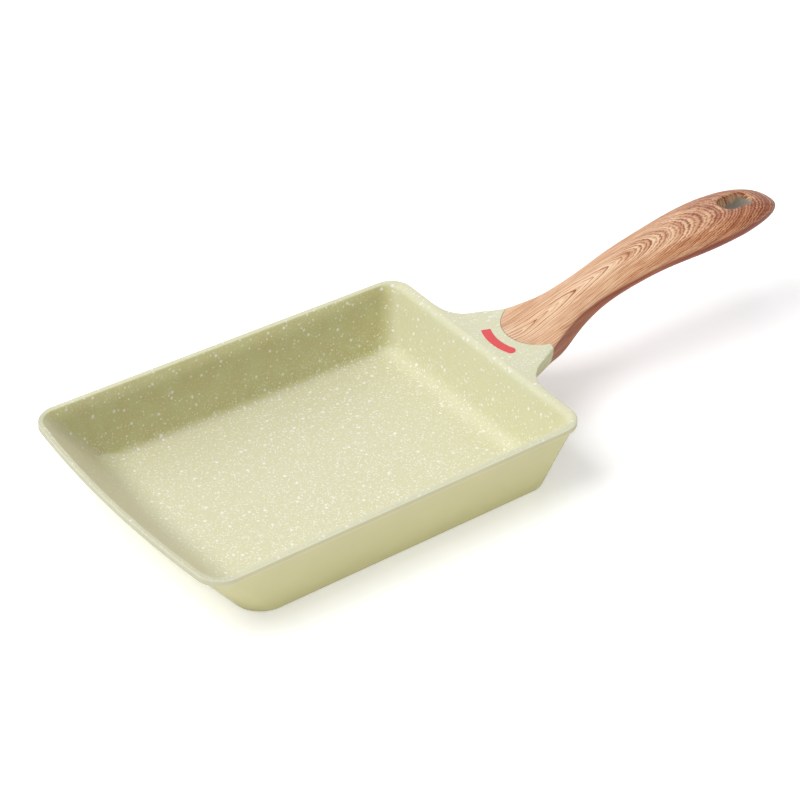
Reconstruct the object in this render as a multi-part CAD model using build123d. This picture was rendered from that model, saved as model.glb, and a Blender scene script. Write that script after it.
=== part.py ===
"""Rectangular rolled-omelette frying pan (tamagoyaki pan) with a moulded handle.

Millimetres. The origin is the middle of the face that the pan stands on,
+X runs from the pan towards the tip of the handle and +Z is up.
The front is the sloping end, away from the handle.
"""
from build123d import *
import math
import os

# Pan casting, seen from above. A slope run is how far a wall leans out from base to rim.
base_length = 155.0
rim_front_half_width = 72.2
rim_rear_half_width = 69.5
front_slope_run = 25.0
rear_slope_run = 10.0
side_slope_run = 9.2
front_bow = 4.8
base_corner_radius = 11.5
rim_front_corner_radius = 10.3
rim_rear_corner_radius = 10.5

# Pan casting, seen from the side
pan_height = 34.1
floor_thickness = 3.8
floor_corner_radius = 9.0
floor_fillet = 7.0
wall_top_thickness = 2.3
wall_base_thickness = 2.9
front_wall_base_thickness = 6.0
lip_height = 3.2
lip_overhang = 1.3
lip_edge_radius = 0.8
base_edge_radius = 0.8

# Shoulder between the rim and the handle, and its seam: a rounded tongue of the handle
# between two horns of the shoulder
shoulder_length = 21.2
shoulder_root_depth = 8.5
web_thickness = 5.0
web_half_width = 40.0
web_flare_length = 9.7
seam_tongue_length = 10.5
seam_radius = 18.0
seam_gap = 0.15

# Form shared by the shoulder's lug and the handle
handle_overhang = 161.6
tip_length = 30.6
handle_half_width = 15.3
handle_lift = 19.4
handle_crown = 5.4
lug_depth = 22.0
# One row for each section from the lug's root to the start of the tip: its place along that
# length, then its half width, the height of its widest line over the rim, the crown over
# that line and the belly under it, as shares of the four sizes above
section_shares = [
    (0.000, 1.935, -0.067, 0.056, 0.941),
    (0.065, 1.843, -0.026, 0.056, 0.977),
    (0.129, 1.609, 0.021, 0.056, 0.897),
    (0.172, 1.421, -0.001, 0.167, 0.868),
    (0.215, 1.227, 0.011, 0.352, 0.863),
    (0.265, 1.019, 0.101, 0.500, 0.955),
    (0.315, 0.853, 0.194, 0.611, 0.990),
    (0.373, 0.739, 0.323, 0.704, 0.806),
    (0.452, 0.701, 0.483, 0.759, 0.557),
    (0.570, 0.782, 0.681, 0.815, 0.405),
    (0.728, 0.879, 0.866, 0.889, 0.409),
    (0.864, 0.993, 0.948, 0.981, 0.445),
    (1.000, 0.987, 1.000, 1.000, 0.455),
]
web_end_width_share = 1.605
crown_power = 2.5
belly_power = 2.0
section_points = 9

# Tip of the handle: the last full section narrows, flattens and droops a little to the end
tip_rise = 0.6
tip_droop = 3.1
tip_droop_power = 3.2
tip_taper_share = 0.18
tip_power = 2.06
tip_narrowing_power = 0.38
tip_blunt_power = 0.42
tip_shares = [0.2, 0.4, 0.58, 0.73, 0.85, 0.93, 0.975, 0.995]

# Tongue cast on the shoulder and its socket in the handle
tongue_drop = 4.5
tongue_angle = 15.0
tongue_width = 12.0
tongue_thickness = 7.0
tongue_reach = 21.0
tongue_root_reach = 17.0
tongue_edge_radius = 1.5
socket_clearance = 0.3
socket_end_clearance = 1.0

# Screw from below that draws the handle onto the tongue, with its two washers
screw_from_seam = 2.3
screw_ledge = 2.5
screw_recess_radius = 5.6
screw_hole_clearance = 0.3
thread_radius = 2.5
thread_clearance = 0.05
thread_end_clearance = 0.6
screw_head_radius = 4.6
screw_head_height = 3.0
screw_head_edge_radius = 0.9
screw_tip_chamfer = 0.6
cross_slot_length = 5.2
cross_slot_width = 1.1
cross_slot_depth = 1.8
flat_washer_radius = 5.0
flat_washer_thickness = 0.8
spring_washer_radius = 4.4
spring_washer_thickness = 1.3
spring_washer_gap = 0.8
washer_bore_clearance = 0.2

# Hang slot, measured from the tip of the handle to the slot's middle
hang_slot_from_tip = 22.0
hang_slot_length = 18.0
hang_slot_width = 10.4
hang_slot_edge_radius = 0.8

# Red curved inlay on the shoulder, concentric with the seam
inlay_from_seam = 5.2
inlay_width = 4.1
inlay_half_angle = 24.5
inlay_depth = 1.0
inlay_top_over_rim = 0.8
inlay_clearance = 0.05

# Steel plate pressed into the base, with round holes that the casting fills
plate_margin = 11.0
plate_corner_radius = 10.0
plate_thickness = 0.8
plate_hole_radius = 2.2
plate_hole_pitch = 12.0
plate_hole_margin = 8.0
plate_clearance = 0.05

# How far a cut runs past the faces that it opens
cut_overrun = 5.0

# Places that follow from the sizes above
rim_front_x = -base_length / 2 - front_slope_run
rim_rear_x = base_length / 2 + rear_slope_run
shoulder_root_x = rim_rear_x - shoulder_root_depth
seam_x = rim_rear_x + shoulder_length
seam_centre_x = seam_x + seam_radius - seam_tongue_length
tip_x = rim_rear_x + handle_overhang
tip_start_x = tip_x - tip_length
screw_x = seam_x + screw_from_seam
hang_slot_x = tip_x - hang_slot_from_tip
plate_length = base_length - 2 * plate_margin
plate_width = 2 * (rim_rear_half_width - side_slope_run - plate_margin)
ledge_bottom = tongue_thickness / 2 + socket_clearance + screw_ledge
head_top = ledge_bottom + flat_washer_thickness + spring_washer_thickness
screw_length = head_top + tongue_thickness / 2 - thread_end_clearance


def blend(start, end, share):
    """Sizes the given share of the way from one list of sizes to another."""
    return [a + (b - a) * share for a, b in zip(start, end)]


def pan_outline(sizes, z):
    """Tapered rectangle with a bowed front end and rounded corners, at height z."""
    front_x, rear_x, front_half, rear_half, bow, front_radius, rear_radius = sizes
    face = make_face([
        Line((front_x, -front_half), (rear_x, -rear_half)),
        Line((rear_x, -rear_half), (rear_x, rear_half)),
        Line((rear_x, rear_half), (front_x, front_half)),
        ThreePointArc((front_x, front_half), (front_x - bow, 0), (front_x, -front_half)),
    ])
    face = fillet(face.vertices().sort_by(Axis.X)[-2:], rear_radius)
    face = fillet(face.vertices().sort_by(Axis.X)[:2], front_radius)
    return Pos(0, 0, z) * face


def rim_sizes(inset):
    """Sizes of the rim's outline, moved inwards by inset."""
    return [
        rim_front_x + inset,
        rim_rear_x - inset,
        rim_front_half_width - inset,
        rim_rear_half_width - inset,
        front_bow,
        rim_front_corner_radius - inset,
        rim_rear_corner_radius - inset,
    ]


def base_sizes():
    """Sizes of the outline that the pan stands on."""
    return [
        -base_length / 2,
        base_length / 2,
        rim_front_half_width - side_slope_run,
        rim_rear_half_width - side_slope_run,
        front_bow,
        base_corner_radius,
        base_corner_radius,
    ]


def floor_sizes():
    """Sizes of the inner floor: the outer wall at that height, less the wall."""
    share = floor_thickness / (pan_height - lip_height)
    sizes = blend(base_sizes(), rim_sizes(lip_overhang), share)
    front_x, rear_x, front_half, rear_half, bow, _, _ = sizes
    return [
        front_x + front_wall_base_thickness,
        rear_x - wall_base_thickness,
        front_half - wall_base_thickness,
        rear_half - wall_base_thickness,
        bow,
        floor_corner_radius,
        floor_corner_radius,
    ]


def pan_shell():
    """Sloping walls under a lip that stands out a little all round."""
    lip_bottom = pan_height - lip_height
    top = rim_sizes(lip_overhang)
    wall = loft([pan_outline(base_sizes(), 0), pan_outline(top, lip_bottom)], ruled=True)
    wall = fillet(wall.edges().group_by(Axis.Z)[0], base_edge_radius)
    lip = extrude(pan_outline(rim_sizes(0), lip_bottom), lip_height)
    return wall, lip


def pan_inside():
    """The space inside the pan, with rounded floor edges, run on above the rim."""
    top = rim_sizes(lip_overhang + wall_top_thickness)
    share = (pan_height + cut_overrun - floor_thickness) / (pan_height - floor_thickness)
    over = blend(floor_sizes(), top, share)
    space = loft(
        [pan_outline(floor_sizes(), floor_thickness), pan_outline(over, pan_height + cut_overrun)],
        ruled=True,
    )
    return fillet(space.edges().group_by(Axis.Z)[0], floor_fillet)


def section_side(x, half_width, middle, extent, power):
    """Half of a section: a superellipse arch from +Y to -Y, as high as extent over middle."""
    points = []
    for i in range(section_points):
        angle = math.pi * i / (section_points - 1)
        across = math.copysign(abs(math.cos(angle)) ** (2 / power), math.cos(angle))
        along = math.sin(angle) ** (2 / power)
        points.append((x, half_width * across, middle + extent * along))
    return Spline(points)


def form_section(x, half_width, height, crown, belly):
    """Closed section of the lug or handle: a low crown over a rounded belly."""
    middle = pan_height + height
    top = section_side(x, half_width, middle, crown, crown_power)
    bottom = section_side(x, half_width, middle, -belly, belly_power)
    return make_face([top, bottom])


def tip_section(last, share):
    """Section of the tip, drawn in from the last full section by its share of the tip."""
    x, half_width, height, crown, belly = last
    closing = 1 - share ** tip_power
    narrow = (1 - tip_taper_share * share) * closing ** tip_narrowing_power
    blunt = closing ** tip_blunt_power
    bend = tip_rise * share - tip_droop * share ** tip_droop_power
    return form_section(
        x + tip_length * share,
        half_width * narrow,
        height + bend,
        crown * blunt,
        belly * blunt,
    )


def handle_form():
    """One smooth form for the lug and the handle, which the seam then divides."""
    rows = []
    for along, width, height, crown, belly in section_shares:
        x = shoulder_root_x + (tip_start_x - shoulder_root_x) * along
        rows.append((
            x,
            handle_half_width * width,
            handle_lift * height,
            handle_crown * crown,
            lug_depth * belly,
        ))
    sections = [form_section(*row) for row in rows]
    sections += [tip_section(rows[-1], share) for share in tip_shares]
    return loft(sections)


def beyond_seam(shift):
    """All the space on the handle's side of the seam, moved towards the tip by shift."""
    span = 2 * (tip_x - seam_x)
    height = 4 * pan_height
    beyond = Pos(seam_x + shift + span / 2, 0, 0) * Box(span, span, height)
    return beyond + Pos(seam_centre_x, 0, 0) * Cylinder(seam_radius - shift, height)


def tongue_frame():
    """Frame where the screw crosses the tongue's middle: X runs along the tongue, Z up the screw."""
    return Pos(screw_x, 0, pan_height - tongue_drop) * Rot(0, -tongue_angle, 0)


def tongue_bar(clearance, end_clearance):
    """The tongue in its own plane, grown by a clearance all round."""
    start = -tongue_root_reach
    end = tongue_reach + end_clearance
    width = tongue_width + 2 * clearance
    thickness = tongue_thickness + 2 * clearance
    bar = Pos((start + end) / 2, 0, 0) * Box(end - start, width, thickness)
    bar = fillet(bar.edges().filter_by(Axis.X), tongue_edge_radius + clearance)
    return tongue_frame() * bar


def shoulder_web():
    """Flat web that flares from the lug into the rim, level with the rim's top."""
    end_x = rim_rear_x + web_flare_length
    end_half = handle_half_width * web_end_width_share
    plan = make_face([
        Line((shoulder_root_x, -web_half_width), (rim_rear_x, -web_half_width)),
        TangentArc((rim_rear_x, -web_half_width), (end_x, -end_half), tangent=(0, 1)),
        Line((end_x, -end_half), (end_x, end_half)),
        TangentArc((rim_rear_x, web_half_width), (end_x, end_half), tangent=(0, -1)),
        Line((rim_rear_x, web_half_width), (shoulder_root_x, web_half_width)),
        Line((shoulder_root_x, web_half_width), (shoulder_root_x, -web_half_width)),
    ])
    return extrude(Pos(0, 0, pan_height - web_thickness) * plan, web_thickness)


def inlay_solid(clearance, top):
    """Curved bar with round ends, concentric with the seam, grown by a clearance."""
    middle_radius = seam_radius + inlay_from_seam + inlay_width / 2
    path = CenterArc((0, 0), middle_radius, 180 - inlay_half_angle, 2 * inlay_half_angle)
    bar = trace(path, inlay_width + 2 * clearance)
    for end in (path @ 0, path @ 1):
        bar += Pos(*end) * Circle(inlay_width / 2 + clearance)
    bottom = pan_height - inlay_depth
    return extrude(Pos(seam_centre_x, 0, bottom) * bar, top - bottom)


def plate_solid(clearance, bottom):
    """Plate with rounded corners and a square pattern of round holes, from bottom up."""
    outline = RectangleRounded(
        plate_length + 2 * clearance, plate_width + 2 * clearance, plate_corner_radius + clearance
    )
    columns = int((plate_length - 2 * plate_hole_margin) / plate_hole_pitch) + 1
    rows = int((plate_width - 2 * plate_hole_margin) / plate_hole_pitch) + 1
    hole = Circle(plate_hole_radius - clearance)
    holes = [place * hole for place in GridLocations(plate_hole_pitch, plate_hole_pitch, columns, rows)]
    return extrude(Pos(0, 0, bottom) * (outline - holes), plate_thickness - bottom)


def make_pan_body(form):
    """Die-cast pan with its shoulder and the tongue that carries the handle."""
    wall, lip = pan_shell()
    lip = fillet(lip.edges().group_by(Axis.Z)[-1], lip_edge_radius)
    shoulder = form - beyond_seam(0)
    body = wall + lip + shoulder_web() + shoulder + tongue_bar(0, 0)
    body -= pan_inside()
    body -= plate_solid(plate_clearance, -cut_overrun)
    body -= inlay_solid(inlay_clearance, pan_height + cut_overrun)
    body -= tongue_frame() * Cylinder(thread_radius + thread_clearance, 2 * tongue_thickness)
    return body


def on_slot(edge):
    """Whether an edge lies round one of the hang slot's two mouths."""
    box = edge.bounding_box()
    within = abs(box.center().X - hang_slot_x) <= hang_slot_length / 2
    return within and box.size.Z < hang_slot_width and box.size.Y > 0 and box.size.X <= hang_slot_length


def make_handle(form):
    """Moulded handle with the socket for the tongue, the screw recess and the hang slot."""
    handle = form & beyond_seam(seam_gap)
    handle -= tongue_bar(socket_clearance, socket_end_clearance)
    depth = 2 * pan_height
    hole = Pos(0, 0, -depth / 2) * Cylinder(thread_radius + screw_hole_clearance, depth)
    recess = Pos(0, 0, -ledge_bottom - depth / 2) * Cylinder(screw_recess_radius, depth)
    handle -= tongue_frame() * (hole + recess)
    slot = Pos(hang_slot_x, 0, 0) * extrude(SlotOverall(hang_slot_length, hang_slot_width), 2 * depth)
    handle -= slot
    rims = [edge for edge in handle.edges() if on_slot(edge)]
    return fillet(rims, hang_slot_edge_radius)


def make_handle_screw():
    """Machine screw with a rounded pan head and a cross slot, pointing up."""
    head = Pos(0, 0, -head_top - screw_head_height / 2) * Cylinder(screw_head_radius, screw_head_height)
    head = fillet(head.edges().group_by(Axis.Z)[0], screw_head_edge_radius)
    shank = Pos(0, 0, screw_length / 2 - head_top) * Cylinder(thread_radius, screw_length)
    shank = chamfer(shank.edges().group_by(Axis.Z)[-1], screw_tip_chamfer)
    screw = head + shank
    for turn in (0, 90):
        slot = Rot(0, 0, turn) * Box(cross_slot_length, cross_slot_width, 2 * cross_slot_depth)
        screw -= Pos(0, 0, -head_top - screw_head_height) * slot
    return tongue_frame() * screw


def washer(radius, thickness, top):
    """Flat ring round the screw, under the height top."""
    ring = Cylinder(radius, thickness) - Cylinder(thread_radius + washer_bore_clearance, 2 * thickness)
    return Pos(0, 0, top - thickness / 2) * ring


def make_flat_washer():
    """Flat washer against the handle's ledge."""
    return tongue_frame() * washer(flat_washer_radius, flat_washer_thickness, -ledge_bottom)


def make_spring_washer():
    """Split ring between the flat washer and the screw's head."""
    top = -ledge_bottom - flat_washer_thickness
    ring = washer(spring_washer_radius, spring_washer_thickness, top)
    split = Pos(spring_washer_radius, 0, top) * Box(
        2 * spring_washer_radius, spring_washer_gap, 4 * spring_washer_thickness
    )
    return tongue_frame() * (ring - split)


def make_heat_inlay():
    """Plain red bar let into the shoulder, a little proud of it."""
    return inlay_solid(0, pan_height + inlay_top_over_rim)


def make_base_plate():
    """Perforated steel plate, flush with the face that the pan stands on."""
    return plate_solid(0, 0)


os.makedirs("parts", exist_ok=True)
lug_and_handle = handle_form()
pieces = {
    "pan_body": make_pan_body(lug_and_handle),
    "handle": make_handle(lug_and_handle),
    "handle_screw": make_handle_screw(),
    "flat_washer": make_flat_washer(),
    "spring_washer": make_spring_washer(),
    "heat_inlay": make_heat_inlay(),
    "base_plate": make_base_plate(),
}
for name, piece in pieces.items():
    export_step(piece, f"parts/{name}.step")
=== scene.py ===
import math
from functools import partial

import bmesh
import bpy
import numpy as np
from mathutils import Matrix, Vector


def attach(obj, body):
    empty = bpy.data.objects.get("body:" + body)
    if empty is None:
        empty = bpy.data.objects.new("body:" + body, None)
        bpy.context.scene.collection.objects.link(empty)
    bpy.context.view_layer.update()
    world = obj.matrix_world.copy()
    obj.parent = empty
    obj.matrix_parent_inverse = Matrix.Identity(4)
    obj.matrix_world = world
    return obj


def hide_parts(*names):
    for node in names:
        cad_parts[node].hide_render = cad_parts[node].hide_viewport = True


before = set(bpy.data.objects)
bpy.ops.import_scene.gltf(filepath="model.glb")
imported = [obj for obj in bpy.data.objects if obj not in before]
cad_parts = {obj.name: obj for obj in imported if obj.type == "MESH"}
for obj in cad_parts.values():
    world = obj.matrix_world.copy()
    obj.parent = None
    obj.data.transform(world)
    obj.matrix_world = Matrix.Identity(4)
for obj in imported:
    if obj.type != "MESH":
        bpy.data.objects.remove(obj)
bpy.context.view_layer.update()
print("frame loaded:", ", ".join(sorted(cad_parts)))

# Shapes below are worked out in millimetres, in the frame's axes, and put into the meshes in metres.
mm = 0.001
# U of the pan's surface map on the top of the shoulder: no ring of the rim has it beside the shoulder
shoulderMap = 1.3
cornerPoints = 10    # of each rounded corner of a section: 8 on its arc and a support on each side


def smoothStep(low, high, x):
    # 0 under low, 1 over high, and 3t^2 - 2t^3 between them
    t = np.clip((x - low) / (high - low), 0, 1)
    return t * t * (3 - 2 * t)


def mix(a, b, share):
    # a at share 0, b at share 1, and a straight line between them
    return a + (b - a) * share


def splineThrough(knots, values, x):
    # Natural cubic spline: cubics through the knots whose second slopes agree, and are 0 at both ends.
    gap, count = np.diff(knots), len(knots)
    rise = np.diff(values) / gap
    inner = np.arange(1, count - 1)
    matrix, target = np.eye(count), np.zeros(count)
    matrix[inner, inner - 1] = gap[:-1]
    matrix[inner, inner] = 2 * (gap[:-1] + gap[1:])
    matrix[inner, inner + 1] = gap[1:]
    target[1:-1] = 6 * np.diff(rise)
    bend = np.linalg.solve(matrix, target)
    i = np.clip(np.searchsorted(knots, x) - 1, 0, count - 2)
    left, right = x - knots[i], knots[i + 1] - x
    return ((bend[i] * right**3 + bend[i + 1] * left**3) / (6 * gap[i])
            + (values[i] / gap[i] - bend[i] * gap[i] / 6) * right
            + (values[i + 1] / gap[i] - bend[i + 1] * gap[i] / 6) * left)


def roundedLine(corners, radii, support=0.2):
    # A broken line whose inner corners become arcs: a corner's arc starts radius / tan(half its angle)
    # along each side, and a support point just outside it keeps the flat faces flat.
    corners, radii = np.array(corners, float), np.array(radii, float)[:, None]
    here = corners[1:-1]
    back, on = corners[:-2] - here, corners[2:] - here
    back /= np.linalg.norm(back, axis=1, keepdims=True)
    on /= np.linalg.norm(on, axis=1, keepdims=True)
    half = np.arccos(np.clip((back * on).sum(1, keepdims=True), -1, 1)) / 2
    reach = radii / np.tan(half)
    middle = back + on
    middle /= np.linalg.norm(middle, axis=1, keepdims=True)
    centre = here + middle * radii / np.sin(half)
    start, end = here + back * reach - centre, here + on * reach - centre
    turn = (math.pi - 2 * half)[:, None, :]
    s = np.linspace(0, 1, cornerPoints - 2)[None, :, None]
    arc = (np.sin((1 - s) * turn) * start[:, None] + np.sin(s * turn) * end[:, None]) / np.sin(turn)
    arc = arc + centre[:, None]
    before = (here + back * (reach + support))[:, None]
    after = (here + on * (reach + support))[:, None]
    body = np.concatenate([before, arc, after], axis=1).reshape(-1, 2)
    return np.concatenate([corners[:1], body, corners[-1:]])


class Surface:
    # Collects grids of points, (rows, columns, 3) in mm, with a UV and a material number for each.
    def __init__(self):
        self.points, self.uvs, self.faces, self.faceMaterial, self.count = [], [], [], [], 0

    def add(self, grid, uv=None, material=0, closed=False, flip=False):
        # A quad between each two rows and two columns; closed joins the last column to the first.
        rows, columns = grid.shape[:2]
        index = self.count + np.arange(rows * columns).reshape(rows, columns)
        if closed:
            index = np.concatenate([index, index[:, :1]], axis=1)
        quads = np.stack([index[:-1, :-1], index[1:, :-1], index[1:, 1:], index[:-1, 1:]], axis=-1)
        if flip:
            quads = quads[..., ::-1]
        number = np.broadcast_to(material, (rows - 1,))
        self.faceMaterial.append(np.repeat(number, quads.shape[1]))
        self.faces.append(quads.reshape(-1, 4))
        self.points.append(grid.reshape(-1, 3))
        self.uvs.append(np.zeros((rows * columns, 2)) if uv is None else uv.reshape(-1, 2))
        self.count += rows * columns

    def build(self, name, materials, sharpAngle=40):
        # One mesh of all grids, with shared points merged, faces outwards and edges sharp past the angle.
        faces, points = np.concatenate(self.faces), np.concatenate(self.points) * mm
        mesh = bpy.data.meshes.new(name)
        mesh.from_pydata(points, [], faces)
        mesh.polygons.foreach_set("material_index", np.concatenate(self.faceMaterial).astype(np.int32))
        uvLayer = mesh.uv_layers.new(name="surfaceMm")
        uvLayer.data.foreach_set("uv", np.concatenate(self.uvs)[faces.reshape(-1)].ravel().astype(np.float32))
        work = bmesh.new()
        work.from_mesh(mesh)
        bmesh.ops.remove_doubles(work, verts=work.verts, dist=2e-6)
        bmesh.ops.dissolve_degenerate(work, edges=work.edges, dist=1e-6)
        bmesh.ops.recalc_face_normals(work, faces=work.faces)
        work.to_mesh(mesh)
        work.free()
        for material in materials:
            mesh.materials.append(material)
        mesh.shade_smooth()
        mesh.set_sharp_from_angle(angle=math.radians(sharpAngle))
        piece = bpy.data.objects.new(name, mesh)
        bpy.context.scene.collection.objects.link(piece)
        print("surface", name, "has", len(mesh.polygons), "faces")
        return piece


# Materials

def colour(code):
    # sRGB hex to linear: c / 12.92 under 0.04045, else ((c + 0.055) / 1.055)^2.4
    channels = [int(code[i:i + 2], 16) / 255 for i in (1, 3, 5)]
    return [c / 12.92 if c <= 0.04045 else ((c + 0.055) / 1.055) ** 2.4 for c in channels] + [1]


def giveInputs(tree, node, inputs):
    # An input is a value, a socket that gets linked, or a node, which stands for its first output in use.
    for key, value in inputs.items():
        if isinstance(value, bpy.types.Node):
            value = next(out for out in value.outputs if out.enabled)
        if isinstance(value, bpy.types.NodeSocket):
            tree.links.new(value, node.inputs[key])
        else:
            node.inputs[key].default_value = value


def addNode(tree, kind, *inputs, **settings):
    # One node with its settings and links. Inputs come in the node's order, or by key in a dictionary.
    node = tree.nodes.new("ShaderNode" + kind)
    for key, value in settings.items():
        setattr(node, key, value)
    for number, value in enumerate(inputs):
        giveInputs(tree, node, value if isinstance(value, dict) else {number: value})
    return node


def newMaterial(name):
    # A material, and addNode for its own tree.
    material = bpy.data.materials.new(name)
    material.use_nodes = True
    return material, partial(addNode, material.node_tree)


def finishMaterial(material, skin, relief, strength, depth, surface):
    # Joins the colour, a bump of the relief with its depth in mm, and the shader's other values.
    tree = material.node_tree
    bump = addNode(tree, "Bump", {"Height": relief, "Strength": strength, "Distance": depth * mm})
    giveInputs(tree, tree.nodes["Principled BSDF"], {"Base Color": skin, "Normal": bump, **surface})
    return material


def scaledPlace(add, size):
    # The object's own place, counted in steps of the given size in mm, one for all axes or one for each.
    steps = [1 / (s * mm) for s in (size if isinstance(size, tuple) else [size] * 3)]
    return add("Mapping", {"Vector": add("TexCoord").outputs["Object"], "Scale": steps})


def lumps(add, size, detail):
    # A cloudy pattern on the object's own place, whose lumps have the given size in mm.
    return add("TexNoise", {"Vector": scaledPlace(add, size), "Scale": 1.0, "Detail": detail})


def flecks(add, spacing, radius, raggedness, strength):
    # Flecks: places nearer than radius to scattered points, spacing apart, shifted by a fine noise for
    # ragged edges, and softened from half the radius to a third past it.
    wobble = lumps(add, coating["wobble"], 2.0).outputs["Color"]
    shift = add("VectorMath", wobble, (0.5, 0.5, 0.5), operation="SUBTRACT")
    shift = add("VectorMath", shift, {"Scale": raggedness / spacing}, operation="SCALE")
    cells = add("TexVoronoi", add("VectorMath", scaledPlace(add, spacing), shift), {"Scale": 1.0})
    edge = radius / spacing
    return add("MapRange", cells, edge * 1.35, edge * 0.5, 0, strength, interpolation_type="SMOOTHSTEP")


coating = {
    # The veil colours are a pale ground of dust with a painted sheen; the front one is lighter and warmer, as
    # painted light
    "green": "#D0CE9A", "warm": "#CEC892", "dustSheen": "#D9D7B5", "frontDustLight": "#E2DBB8", "fleck": "#F3F1EA",
    # The rim's edge colours are a painted highlight along its outer edge; the front colours of the rim and its
    # edge are darker, as painted shade
    "rim": "#D7D6B5", "rimEdgeHighlight": "#E6E5CC", "frontRimShade": "#C3C2A6", "frontEdgeHighlight": "#CFCDB2",
    # of each size of fleck: spacing, radius and raggedness in mm, and strength
    "large": (5.2, 0.76, 0.9, 1.0), "medium": (2.7, 0.48, 0.6, 0.9),
    "fine": (1.25, 0.32, 0.35, 0.92), "dust": (0.75, 0.22, 0.2, 0.42),
    "wobble": 1.1, "mottle": 9.0, "peel": 0.9,    # lumps, mm
    "settled": (4.0, 20.0, 0.4),    # all under the first height, and this share over the second
    "rimBand": (3.4, 2.0), "edgeHighlightBand": (1.0, 0.5), "rimFlecks": 0.8,    # distances from the rim's outer edge
    "frontX": (-88.0, -100.0),    # where the rim's sides turn into its front, mm
    # Shares of that pale ground: dust with a painted sheen, and more on the front wall, as painted light
    "dustSheenShare": 0.85, "frontDustLightShare": 0.95,
    "shader": {"Roughness": 0.54, "IOR": 1.55},
}


def speckledCoating():
    # Sprayed ceramic non-stick on cast aluminium: satin, pale green, with white flecks of three sizes
    # over a white dust and a faint warm mottle. The dust is drawn about twice its size, so that it shows,
    # and it and the fine flecks have settled most on the floor and the shoulder. The coat runs thin and
    # pale over the rim, whose place is read from the surface's map: the distance from the rim's outer
    # edge, in mm. A paler line along that edge is a painted highlight, and at the front the rim and that
    # line are darker, as painted shade. A pale ground, partly dust and partly a painted sheen, lies over
    # most of the coat, as a point attribute says: less of it on the long walls, as painted shade, and the
    # most, lighter and warmer, on the front wall, as painted light.
    c = coating
    material, add = newMaterial("ceramicCoatingSprayedSpeckled")
    patches = add("MapRange", lumps(add, c["mottle"], 3.0), 0.4, 0.62)
    ground = add("Mix", {0: patches, 6: colour(c["green"]), 7: colour(c["warm"])}, data_type="RGBA")
    # The pale ground, dust with a painted sheen: lighter and warmer on the front wall as painted light, less on
    # the long walls as painted shade
    dustAndSheen = add("Attribute", attribute_name="dustAndSheen").outputs["Fac"]
    frontLitShare = add("MapRange", dustAndSheen, c["dustSheenShare"] + 0.01, c["frontDustLightShare"])
    dustSheen = add("Mix", {0: frontLitShare, 6: colour(c["dustSheen"]), 7: colour(c["frontDustLight"])}, data_type="RGBA")
    ground = add("Mix", {0: dustAndSheen, 6: ground, 7: dustSheen}, data_type="RGBA")
    large, medium, fine, dust = (flecks(add, *c[size]) for size in ("large", "medium", "fine", "dust"))
    place = add("SeparateXYZ", add("TexCoord").outputs["Object"])
    fromEdge = add("SeparateXYZ", add("UVMap", uv_map="surfaceMm")).outputs["X"]
    low, high, least = c["settled"]
    settled = add("MapRange", place.outputs["Z"], low * mm, high * mm, 1, least)
    onShoulder = add("Math", fromEdge, shoulderMap, 0.1, operation="COMPARE")
    settled = add("Math", settled, onShoulder, operation="MAXIMUM")
    fine = add("Math", add("Math", fine, dust, operation="MAXIMUM"), settled, operation="MULTIPLY")
    mask = add("Math", add("Math", large, medium, operation="MAXIMUM"), fine, operation="MAXIMUM")
    # Along the rim's outer edge a paler line, a painted highlight; at the front the rim and that line are darker,
    # as painted shade
    atFront = add("MapRange", place.outputs["X"], *(x * mm for x in c["frontX"]))
    onRim, onEdgeHighlight = (add("MapRange", fromEdge, *c[band]) for band in ("rimBand", "edgeHighlightBand"))
    for share, key, frontKey in ((onRim, "rim", "frontRimShade"), (onEdgeHighlight, "rimEdgeHighlight", "frontEdgeHighlight")):
        thin = add("Mix", {0: atFront, 6: colour(c[key]), 7: colour(c[frontKey])}, data_type="RGBA")
        ground = add("Mix", {0: share, 6: ground, 7: thin}, data_type="RGBA")
    mask = add("Math", mask, add("MapRange", onRim, 0, 1, 1, c["rimFlecks"]), operation="MULTIPLY")
    skin = add("Mix", {0: mask, 6: ground, 7: colour(c["fleck"])}, data_type="RGBA")
    return finishMaterial(material, skin, lumps(add, c["peel"], 2.0), 0.12, 0.1, c["shader"])


outside = {
    # low is deeper near the base as painted shade, the lip colour is darker as painted shade, and line is a
    # painted highlight
    "low": "#D5D09C", "high": "#D3CE9F", "lip": "#D0CBA1", "frontLip": "#CAC8AA", "line": "#D9D5B2",
    "baseShadeEnds": (3.0, 24.0), "lipEnds": (30.9, 31.4), "highlightLineWidth": 0.6, "angleShadeWidth": 1.0,    # heights, mm
    "angleShadeTone": 0.93, "cloud": 18.0, "cloudTone": 0.015, "peel": 1.4,    # tones as shares, lumps in mm
    "shader": {"Roughness": 0.5, "IOR": 1.5},
}


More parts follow.
